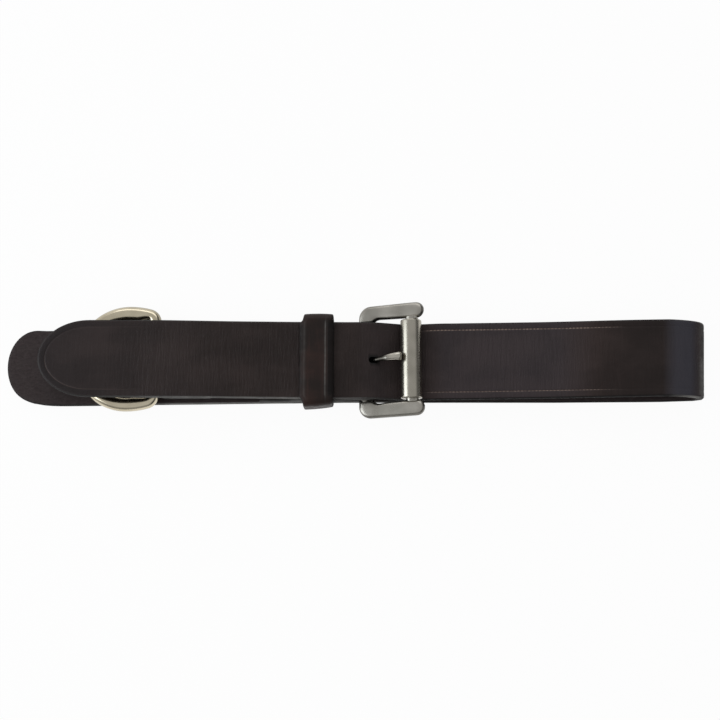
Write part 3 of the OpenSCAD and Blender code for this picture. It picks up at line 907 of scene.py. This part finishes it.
def keeper_marks(q, share, edge, on_top):
    """Edge and wear marks at q: painted highlights on the ridges where the skived sides begin, and painted
    shade on the sides beyond them.
    """
    painted_ridge_highlight = bell(q - 0.5, 0.06) + 0.6 * bell(q + 0.7, 0.05)
    painted_side_shade = (0.85 * ease(0.57, 0.68, q) + 0.5 * ease(-0.72, -0.85, q)) * on_top
    return max(edge, 0.5 * painted_ridge_highlight * on_top * (share == 1.0), painted_side_shade), 0.8 * painted_ridge_highlight


def build_keeper():
    """A band with skived sides that flare a little over the upper run."""
    half_l = (keeper_high[0] - keeper_low[0]) / 2 - KEEPER_END_GAP
    centre_x = (keeper_low[0] + keeper_high[0]) / 2 + KEEPER_SHIFT
    inner_half = keeper_high[1] - KEEPER_T
    low = STRAP_T + KEEPER_T
    high = keeper_high[2] - KEEPER_T
    section = keeper_section()
    points = []
    marks = []
    loop = list(zip(*rounded_loop(inner_half, low, high, KEEPER_CORNER, 30, 12)))
    for p, normal in loop:
        on_top = ease(low + 2, high + 0.3, p[1])
        on_top *= ease(inner_half + 0.2, inner_half - 2.6, abs(p[0]))
        for q, share, edge in section:
            crown = KEEPER_CROWN * (1 - q * q) * share
            lift = KEEPER_T * share + crown - keeper_fall(q) * on_top * min(share, 0.6) / 0.6
            y, z = p + normal * max(lift, 0.12 * share)
            x = centre_x + q * half_l + (q * KEEPER_FLARE - KEEPER_LEAN) * on_top
            x += KEEPER_WAVER * wobble(y / 9, q, 3.0)
            points.append((x, y + KEEPER_SKEW * q * ease(-8, -18, y), max(z, STRAP_T)))
            marks.append(keeper_marks(q, share, edge, on_top))
    edge, wear_and_painted_highlight = zip(*marks)
    add_piece("keeper_leather", points, ring_faces(len(loop), len(section), closed=True), "strap",
              KEEPER_LEATHER, ["keeper"], {"edge": edge, "wear_and_painted_highlight": wear_and_painted_highlight})


# Chapes
def chape_path(upper_leg, lower_leg, bar, fold_r, side):
    """The inner face of a folded chape, from the end of its upper leg round the bar to the lower one."""
    far = upper_leg[0][0] if side > 0 else upper_leg[-1][0]
    points, normals = run_line(upper_leg, np.linspace(far, bar[0], LEG_STEPS))
    for angle in np.linspace(90, -90, 31)[1:-1]:
        turn = heading(angle) * (side, 1)
        points.append(bar + fold_r * turn)
        normals.append(turn)
    lower_points, lower_normals = run_line(lower_leg, np.linspace(bar[0], far, LEG_STEPS), up=-1)
    return Path(points + lower_points, normals + lower_normals)


def build_chape(name, node, path, half, slot=(0.0, 0.0), narrowed=0.0):
    """A thin strip with pared ends, narrowed at its fold; slot is the stretch left open for the tongue."""
    whole_l = path.s[-1]
    stations = np.unique(np.hstack([np.arange(0, whole_l, CHAPE_STEP), [whole_l], slot]))
    lines = np.unique(np.hstack([np.linspace(-half, half, CHAPE_LINES), [-SLOT_W / 2, SLOT_W / 2]]))
    from_end = np.minimum(stations, whole_l - stations)
    thickness = PARED_T + (CHAPE_T - PARED_T) * np.clip(from_end / PARED_L, 0, 1)
    shift = np.interp(stations, path.s, lower_drift(path.points[:, 0]))
    from_fold = np.abs(stations - whole_l / 2)
    waist = 1 - narrowed / half * (1 - ease(CLOSING_L / 2, CLOSING_L, from_fold))
    y = lines * waist[:, None] + shift[:, None]
    layers = []
    for lift in (thickness, np.zeros_like(thickness)):
        x, z = path.at(stations, lift)
        grid = np.stack(np.broadcast_arrays(x[:, None], y, z[:, None]), axis=2)
        layers.append(grid.reshape(-1, 3))
    points = np.concatenate(layers)
    mid_s = (stations[:-1] + stations[1:]) / 2
    mid_t = (lines[:-1] + lines[1:]) / 2
    in_slot = (mid_s > slot[0]) & (mid_s < slot[1])
    solid = ~(in_slot[:, None] & (np.abs(mid_t) < SLOT_W / 2))
    edge = np.isclose(np.abs(np.tile(lines, len(stations) * 2)), half).astype(float)
    marks = {"edge": edge, "wear_and_painted_highlight": np.full(len(points), CHAPE_WEAR)}
    points, faces, marks = drop_unused(points, slab_faces(solid), marks)
    piece = add_piece(name, points, faces, "strap",
                      CHAPE_LEATHER, [node], marks, flat_angle=SHARP_ANGLE)
    bevel = piece.modifiers.new("rounded_edges", "BEVEL")
    bevel.width = CHAPE_BEVEL * MM
    bevel.segments = 3
    bevel.limit_method = "ANGLE"
    bevel.angle_limit = math.radians(55)


def build_buckle_chape():
    """The chape round the heel bar; both its legs step over the keeper's foot."""
    left = buckle_chape_low[0]
    flat_z = STRAP_T + CHAPE_T
    raised_z = on_keeper_z + CHAPE_T
    to_keeper = [(left, STRAP_T + PARED_T, 0), (left + PARED_L, flat_z, 0),
                 (keeper_low[0] - STEP_L, flat_z, 0), (keeper_low[0] - LAY_GAP, raised_z, 0)]
    lower_leg = to_keeper + [(keeper_high[0] + LAY_GAP, raised_z, 0), (keeper_high[0] + STEP_L, flat_z, 0),
                             (heel[0], flat_z, 0)]
    upper_leg = to_keeper + [(keeper_high[0], raised_z, 0), (heel[0], heel[1] + heel_fold_r, 0)]
    path = chape_path(upper_leg, lower_leg, heel, heel_fold_r, 1)
    upper_l = path.s[np.argmax(path.points[:, 0] >= heel[0] - 1e-6)]
    fold_l = math.pi * heel_fold_r
    slot_l = heel_fold_r + EYE_WALL + SHANK_R + SLOT_ROOM
    slot = (upper_l - slot_l, upper_l + fold_l + slot_l)
    build_chape("buckle_chape_leather", "buckle_chape", path, half_w, slot)


def build_dee_chape():
    """The chape round the dee's bar; its legs close on each other behind the bar."""
    right = dee_chape_high[0]
    flat_z = STRAP_T + CHAPE_T
    pared_end = [(right - PARED_L, flat_z, 0), (right, STRAP_T + PARED_T, 0)]
    lower_leg = [(dee_bar[0], flat_z, 0)] + pared_end
    upper_leg = [(dee_bar[0], dee_bar[1] + dee_fold_r, 0), (dee_bar[0] + CLOSING_L, flat_z, 0)] + pared_end
    path = chape_path(upper_leg, lower_leg, dee_bar, dee_fold_r, -1)
    build_chape("dee_chape_leather", "dee_chape", path, dee_chape_high[1], narrowed=DEE_CHAPE_NARROWED)


# Buckle
roller_u = np.linalg.norm(roller_axis - heel)
nose_u = roller_u + NOSE_L
frame_along = (roller_axis - heel) / roller_u


def half_round(u, centre, r):
    """Half width of a round of radius r at u."""
    return np.sqrt(np.maximum(r**2 - (u - centre) ** 2, 0.0))


def arm_edges(u):
    """Inner and outer edge of a side bar at u along the frame."""
    outer_line = frame_high[1] - SIDE_DRAWN_IN
    nose_r = NOSE_W / 2
    share = (u + HEEL_MARGIN) / (nose_u + HEEL_MARGIN)
    inner_line = outer_line - SIDE_W - (NOSE_W - SIDE_W) * share
    corner_u = HEEL_CORNER_R - HEEL_MARGIN
    corner = outer_line - HEEL_CORNER_R + half_round(u, corner_u, HEEL_CORNER_R)
    outer = np.where(u < corner_u, corner, outer_line)
    web = inner_line - WEB_R + half_round(u, WEB_END, WEB_R)
    inner = np.where(u < WEB_END, np.maximum(web, half_w + WEB_GAP), inner_line)
    inner = np.where(u < WEB_END - WEB_R, half_w + WEB_GAP, inner)
    at_nose = u > nose_u - nose_r
    middle = outer_line - nose_r
    nose_half = half_round(u, nose_u - nose_r, nose_r)
    return np.where(at_nose, middle - nose_half, inner), np.where(at_nose, middle + nose_half, outer)


def edge_distance(spots, outline):
    """Distance of each spot from a closed outline."""
    side = np.roll(outline, -1, axis=0) - outline
    reach = spots[:, None, :] - outline[None, :, :]
    share = (reach * side).sum(axis=2) / np.maximum((side**2).sum(axis=1), 1e-9)
    nearest = reach - np.clip(share, 0, 1)[:, :, None] * side
    return np.sqrt((nearest**2).sum(axis=2)).min(axis=1)


def arm_shell():
    """A side bar with its heel corner and round nose, rounded along every edge, with painted shade on its
    edges and towards its heel.
    """
    near = np.array([0.01, 0.06, 0.2, 0.45, 0.8, 1.2, 1.7, 2.4])
    u = np.hstack([near - HEEL_MARGIN, np.linspace(0.4, nose_u - 3.2, 34), nose_u - near[::-1]])
    across = np.array([0.0, 0.012, 0.036, 0.07, 0.115, 0.165, 0.21, 0.35, 0.5])
    across = np.hstack([across, 1 - across[-2::-1]])
    inner, outer = arm_edges(u)
    v = inner[:, None] + across * (outer - inner)[:, None]
    spots = np.stack([np.repeat(u, len(across)), v.reshape(-1)], axis=1)
    dense = np.linspace(u[0], u[-1], 240)
    inner_edge, outer_edge = (np.stack([dense, edge], axis=1) for edge in arm_edges(dense))
    depth_in = edge_distance(spots, np.concatenate([inner_edge, outer_edge[::-1]]))
    round_r = SIDE_ROUND + (NOSE_ROUND - SIDE_ROUND) * ease(nose_u - 7, nose_u - 2, spots[:, 0])
    inset = np.minimum(depth_in, round_r)
    crown = SIDE_CROWN * np.maximum(1 - depth_in / (SIDE_W / 2), 0) ** 2
    height = SIDE_HALF_T - round_r - crown + np.sqrt(round_r**2 - (round_r - inset) ** 2)
    points = np.concatenate([np.column_stack([spots, height]), np.column_stack([spots, -height])])
    # Painted shade on the rounded edges, and a little towards the heel end
    painted_shade = 0.65 * (1 - ease(0.1, 0.9, inset)) + 0.2 * (1 - ease(-2.5, 12, spots[:, 0]))
    faces = slab_faces(np.ones((len(u) - 1, len(across) - 1), bool))
    return points, faces, np.tile(np.minimum(painted_shade, 0.9), 2)


def cross_bar(u, half_along, half_up, power, ends):
    """A bar across the frame at u, from end to end."""
    a, b = oval(half_along, half_up, power, BAR_STEPS)
    return tube([np.stack([u + a, np.full_like(a, v), b], axis=1) for v in ends])


def build_frame():
    """Two side bars, the heel bar, the axle inside the roller and a neck at each end of the axle.

    The whole frame is skewed a little across the strap, as it lies in the photo.
    """
    points, faces, painted_shade = arm_shell()
    mirrored = (points * (1, -1, 1), [face[::-1] for face in faces])
    heel_end = half_w + HEEL_BAR_SUNK
    neck_from = roller_high[1] + NECK_GAP
    axle_end = neck_from + AXLE_SUNK
    neck = (roller_u + NECK_AHEAD, NECK_HALF_W, NECK_HALF_T, 4)
    bars = [
        cross_bar(0, HEEL_R, HEEL_R, 2, (-heel_end, heel_end)),
        cross_bar(*neck, (-neck_from - NECK_L, -neck_from)),
        cross_bar(*neck, (neck_from, neck_from + NECK_L)),
        cross_bar(roller_u, AXLE_R, AXLE_R, 2, (-axle_end, axle_end)),
    ]
    points, faces = join_shells((points, faces), mirrored, *bars)
    points[:, 1] += FRAME_SKEW * points[:, 0]
    marks = np.zeros(len(points))
    marks[: 2 * len(painted_shade)] = np.tile(painted_shade, 2)
    add_piece("buckle_frame_metal", tilted(points, heel, frame_along), faces, "buckle",
              SATIN_NICKEL, ["buckle_frame"], {"painted_shade": marks}, flat_angle=SHARP_ANGLE)


def build_roller():
    """A tube of rolled sheet with turned rims and a seam on its underside.

    Its lower end stops short by as much as the frame is skewed there.
    """
    half_l = roller_high[1]
    low_end = FRAME_SKEW * roller_u - half_l
    rim = [(0.0, 0.6), (0.08, 0.3), (0.25, 0.1), (0.5, 0.02), (0.8, 0.0)]
    profile = [(low_end, BORE_R)]
    profile += [(low_end + v, roller_r - fall) for v, fall in rim]
    profile += [(v, roller_r) for v in np.linspace(low_end + 4, half_l - 4, 9)]
    profile += [(half_l - v, roller_r - fall) for v, fall in rim[::-1]]
    profile += [(half_l, BORE_R), (0.0, BORE_R)]
    angles = np.linspace(0, 360, 72, endpoint=False)
    angles = np.unique(np.hstack([angles, SEAM_AT + np.array([-3, -1.5, 0, 1.5, 3])]))
    points = []
    for angle in angles:
        turn = heading(angle)
        seam = SEAM_DEPTH * bell(angle - SEAM_AT, SEAM_SPREAD)
        for v, radius in profile:
            r = radius if radius == BORE_R else radius - seam
            points.append((roller_u + r * turn[0], v, r * turn[1]))
    faces = ring_faces(len(angles), len(profile), closed=True)
    add_piece("roller_metal", tilted(np.array(points), heel, frame_along), faces, "roller",
              ROLLER_NICKEL, ["roller"], flat_angle=40)


def tongue_shaft():
    """The bent prong, thinnest where it passes the strap and rounded off at its tip."""
    tip = roller_axis + (roller_r + TIP_R + REST_GAP) * heading(TIP_ANGLE)
    shank, point = directions(np.array([knee - heel, tip - knee]))
    start = heel + shank * (heel_fold_r + 0.5)
    before = knee - shank * KNEE_BEFORE
    after = knee + point * KNEE_AFTER
    centres = [start + (before - start) * share for share in (0.0, 0.5)]
    for u in np.linspace(0, 1, 11):
        centres.append((1 - u) ** 2 * before + 2 * u * (1 - u) * knee + u**2 * after)
    centres += [after + (tip - after) * share for share in (0.35, 0.7, 1.0)]
    count = len(centres)
    radii = list(np.interp(np.arange(count), [0, 3, 8, count - 1], TONGUE_RADII))
    for angle in (15, 30, 45, 60, 75, 87):
        back, out = heading(angle)
        centres.append(tip + point * TIP_R * 0.8 * out)
        radii.append(TIP_R * back**0.6)
    centres = np.array(centres)
    run = lengths_run(centres)
    lean = TONGUE_LEAN * ease(run[2], run[-1], run)
    rings = []
    for (x, z), (dx, dz), r, y in zip(centres, directions(np.gradient(centres, axis=0)), radii, lean):
        a, b = oval(r, r, TONGUE_SQUARENESS, 28)
        rings.append(np.stack([x - b * dz, y + a, z + b * dx], axis=1))
    return tube(rings)


def tongue_eye():
    """The eye round the heel bar, with rounded edges and an eased mouth."""
    outer = heel_fold_r + EYE_WALL
    side = [(EYE_HALF_W, heel_fold_r + EYE_MOUTH_RISE), (EYE_HALF_W, outer - EYE_ROUND),
            (EYE_HALF_W - EYE_ROUND, outer)]
    mouth = [(EYE_HALF_W - EYE_MOUTH_IN, heel_fold_r), (EYE_MOUTH_IN - EYE_HALF_W, heel_fold_r)]
    section = [(-v, r) for v, r in side] + side[::-1] + mouth
    points = []
    angles = np.linspace(0, 360, 48, endpoint=False)
    for angle in angles:
        turn = heading(angle)
        points += [(heel[0] + r * turn[0], v, heel[1] + r * turn[1]) for v, r in section]
    return points, ring_faces(len(angles), len(section), closed=True)


def build_tongue():
    """The prong and its eye, with painted shade towards the heel bar."""
    points, faces = join_shells(tongue_shaft(), tongue_eye())
    painted_shade = 1 - ease(heel[0] + TONGUE_SHADE_L, heel[0] + TONGUE_SHADE_ENDS, points[:, 0])
    add_piece("tongue_metal", points, faces, "tongue", TONGUE_NICKEL, ["tongue"],
              {"painted_shade": painted_shade}, flat_angle=60)


# Dee
def dee_line():
    """The middle of the dee's wire, once round, along and across from the middle of its bar."""
    mid_r = DEE_INNER_HALF_W + DEE_WIRE_R
    straight = DEE_DEPTH - 2 * DEE_WIRE_R - mid_r
    lean = heading(DEE_SIDE_LEAN)
    side_l = straight - DEE_CORNER_R * (1 - lean[1])
    drawn_in = side_l / 2 * lean[1] / lean[0]
    corner_y = mid_r - drawn_in - DEE_CORNER_R * lean[0]
    half_loop = [(0.0, y) for y in np.linspace(0, corner_y, 8)]
    corner_turns = [heading(angle) for angle in np.linspace(0, 90 - DEE_SIDE_LEAN, 12)[1:]]
    half_loop += [(-DEE_CORNER_R, corner_y) + DEE_CORNER_R * turn for turn in corner_turns]
    for share in np.linspace(1, 0, 12)[1:]:
        half_loop.append((side_l * share - straight, mid_r - drawn_in * share**2))
    half_loop += [(-straight, 0) + mid_r * heading(angle) for angle in np.linspace(90, 180, 37)[1:]]
    return np.array(half_loop + [(u, -v) for u, v in half_loop[-2:0:-1]])


def build_dee():
    """A wire loop that tilts down from its bar to the lower run, thicker on the inside of its bow, with
    painted shade below the top of its wire.
    """
    drop = dee_bar[1] - STRAP_T - DEE_WIRE_R - REST_GAP
    tilt = math.degrees(math.asin(drop / (DEE_DEPTH - 2 * DEE_WIRE_R)))
    centres = dee_line()
    tangents = directions(np.roll(centres, -1, axis=0) - np.roll(centres, 1, axis=0))
    plain, b = oval(DEE_WIRE_R, DEE_WIRE_R, 2, 36)
    low_side = 1 - ease(0.5, 0.9, b / DEE_WIRE_R)
    rings = []
    painted_shade = []
    for (u, v), (du, dv) in zip(centres, tangents):
        swell = (DEE_BOW_SWELL + DEE_UPPER_SWELL * ease(0, 12, v)) * ease(-2.5, -9, u)
        a = plain + np.maximum(plain, 0) / DEE_WIRE_R * swell
        rings.append(np.stack([u - a * dv, DEE_SLIDE + v + a * du, b], axis=1))
        painted_shade.append(low_side * (DEE_NEAR_PAINTED_SHADE if v < 0 else DEE_FAR_PAINTED_SHADE))
    faces = ring_faces(len(rings), len(plain), closed=True)
    points = tilted(np.concatenate(rings), dee_bar, heading(tilt))
    add_piece("dee_ring_metal", points, faces, "dee",
              POLISHED_NICKEL, ["dee_ring"], {"painted_shade": np.hstack(painted_shade)})


# Stitches
def stitch_shell(x, y, z, turn_deg, up):
    """One slanted stitch, drawn tight at both ends; up is 1 on a top face and -1 on an underside."""
    rings = []
    dx, dy = heading(turn_deg + STITCH_SLANT * up)
    for u in np.linspace(-1, 1, 11):
        r = THREAD_R * math.sqrt(max(1 - abs(u) ** 3, 0.02))
        a, b = oval(r, r, 2, 12)
        along = u * STITCH_L / 2
        middle_z = z + up * (STITCH_PROUD - STITCH_SINK * abs(u) ** 2.5)
        rings.append(np.stack([x + along * dx - a * dy, y + along * dy + a * dx, middle_z + b], axis=1))
    return tube(rings)


def build_stitches(name, node, stretch, cross_x, half):
    """Two rows along the strap and one across it, on the chape and under the lower run."""
    row_y = half - STITCH_INSET
    places = []
    for side in (-1, 1):
        for i in range(int((stretch[1] - stretch[0]) / STITCH_PITCH + 1e-6)):
            places.append((stretch[0] + (i + 0.5) * STITCH_PITCH, side * row_y, 0))
    count = int(2 * (row_y - STITCH_PITCH) / STITCH_PITCH)
    for i in range(count):
        places.append((cross_x, (i + 0.5 - count / 2) * STITCH_PITCH, 90))
    shells = []
    for x, y, turn_deg in places:
        y += lower_drift(x)
        shells.append(stitch_shell(x, y, STRAP_T + 2 * CHAPE_T, turn_deg, 1))
        shells.append(stitch_shell(x, y, UNDER_STITCH_Z, turn_deg, -1))
    points, faces = join_shells(*shells)
    add_piece(name, points, faces, "strap", THREAD, [node])


# Stage
def emitting_floor():
    """Pale floor: white to the eye and in reflections, with a faint shadow kept."""
    n = Nodes(bpy.data.materials.new("floor_paper"))
    n.finish({"Base Color": (0.92, 0.92, 0.92, 1), "Roughness": 0.9, "Specular IOR Level": 0.0})
    path = n.add("LightPath", {})
    seen = path.outputs["Is Camera Ray"]
    for ray in ("Is Glossy Ray", "Is Transmission Ray"):
        seen = n.math("MAXIMUM", seen, path.outputs[ray])
    white = n.add("Emission", {"Color": WHITE, "Strength": 1.0})
    share = n.math("MULTIPLY", seen, FLOOR_GLOW)
    both = n.add("MixShader", {0: share, 1: n.shader.outputs[0], 2: white.outputs[0]})
    n.put(n.tree.nodes["Material Output"], {"Surface": both.outputs[0]})
    return n.owner


def build_floor():
    corners = [(-1, -1), (1, -1), (1, 1), (-1, 1)]
    points = [(x * FLOOR_HALF, y * FLOOR_HALF, -FLOOR_DROP) for x, y in corners]
    mesh = new_mesh("floor", points, [[0, 1, 2, 3]])
    mesh.materials.append(emitting_floor())
    floor = new_object("floor", mesh)


def build_world():
    """A room that is bright on the left and behind, and dark low down on the right and in front."""
    world = bpy.data.worlds.new("studio")
    bpy.context.scene.world = world
    n = Nodes(world, "Background")
    split = n.add("SeparateXYZ", {0: n.add("TexCoord", {}).outputs["Generated"]})
    x, y, z = (split.outputs[axis] for axis in "XYZ")
    level = n.ramp(z, 0.2, 0.9, 0.85, 0.62)
    low_down = n.ramp(z, 0.45, 0.75, 1.0, 0.0)
    for toward in (n.ramp(x, 0.2, 0.65, 0.0, 0.8), n.ramp(y, -0.2, -0.7, 0.0, 0.6)):
        dark = n.math("MULTIPLY", toward, low_down)
        level = n.math("MULTIPLY", level, n.math("SUBTRACT", 1.0, dark))
    n.finish({"Color": level, "Strength": 0.9})


def area_light(name, place, size, watts, colour):
    """A rectangular light that faces the middle of the scene."""
    light = bpy.data.lights.new(name, "AREA")
    light.shape = "RECTANGLE"
    light.size, light.size_y = (length * MM for length in size)
    light.energy = watts
    light.color = colour
    lamp = new_object(name, light)
    lamp.location = Vector(place) * MM
    lamp.rotation_euler = (-Vector(place)).to_track_quat("-Z", "Y").to_euler()


def build_camera():
    data = bpy.data.cameras.new("camera")
    data.lens = CAMERA_LENS
    data.clip_start = 0.01
    data.clip_end = 50
    camera = new_object("camera", data)
    back, up = heading(CAMERA_ELEVATION)
    camera.location = (Vector(CAMERA_AIM) + Vector((0, -back, up)) * CAMERA_DISTANCE) * MM
    camera.rotation_euler = (math.radians(90 - CAMERA_ELEVATION), 0, 0)
    bpy.context.scene.camera = camera


build_camera()
build_floor()
build_world()
area_light("left_box", (-850, -80, 370), (700, 650), 3.9, (0.88, 0.95, 1.0))
area_light("back_box", (0, 800, 600), (1200, 400), 1.6, (1.0, 1.0, 1.0))
build_strap()
build_keeper()
build_buckle_chape()
build_dee_chape()
build_frame()
build_roller()
build_tongue()
build_dee()
build_stitches("buckle_chape_thread", "buckle_chape_stitches", *SEWN[0])
build_stitches("dee_chape_thread", "dee_chape_stitches", *SEWN[1])
bpy.context.scene.view_settings.view_transform = "Standard"

bpy.context.view_layer.update()
